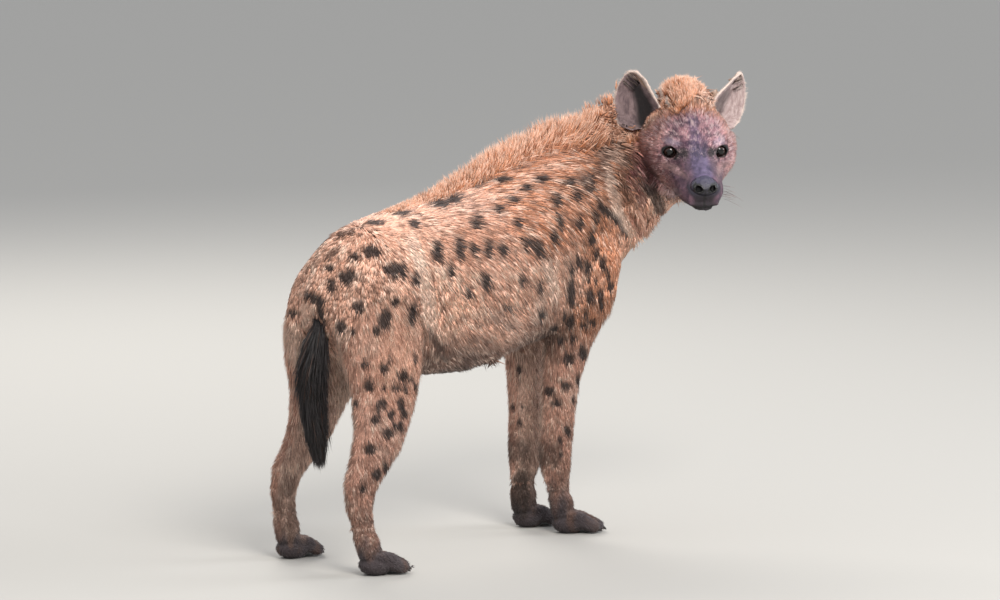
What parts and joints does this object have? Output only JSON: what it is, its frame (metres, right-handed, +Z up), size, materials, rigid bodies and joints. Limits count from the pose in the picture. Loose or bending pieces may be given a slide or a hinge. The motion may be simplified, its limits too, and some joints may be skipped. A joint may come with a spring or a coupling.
{
  "type": "spotted hyena model",
  "caption": "Life-size standing spotted hyena, sloping back, raised mane, head turned back over its right shoulder, black-brushed tail hanging.",
  "frame": {"origin": "on the floor, under the middle of the whole animal's box", "axes": "+X from the tail to the chest, +Y to the animal's left, +Z up"},
  "size_m": [1.172, 0.5362, 1.0034],
  "materials": {
    "coat": "sandy fur with dark brown spots",
    "face": "short grey-brown fur, reddish on the cheeks",
    "ear": "thin grey-pink skin with sparse pale hair",
    "nose": "damp black skin",
    "eye": "dark brown, wet",
    "brush": "long black hair",
    "foot": "short dark fur, muddy",
    "claw": "blunt dark horn"
  },
  "bodies": {
    "root": {"torso": "coat", "neck": "coat", "head": "face", "nose": "nose", "ear_left": "ear", "ear_right": "ear", "eye_left": "eye", "eye_right": "eye", "tail": "brush", "front_leg_right": "coat", "front_leg_left": "coat", "hind_leg_right": "coat", "hind_leg_left": "coat", "paw_front_right": "foot", "paw_front_left": "foot", "paw_hind_right": "foot", "paw_hind_left": "foot"}
  },
  "joints": []
}
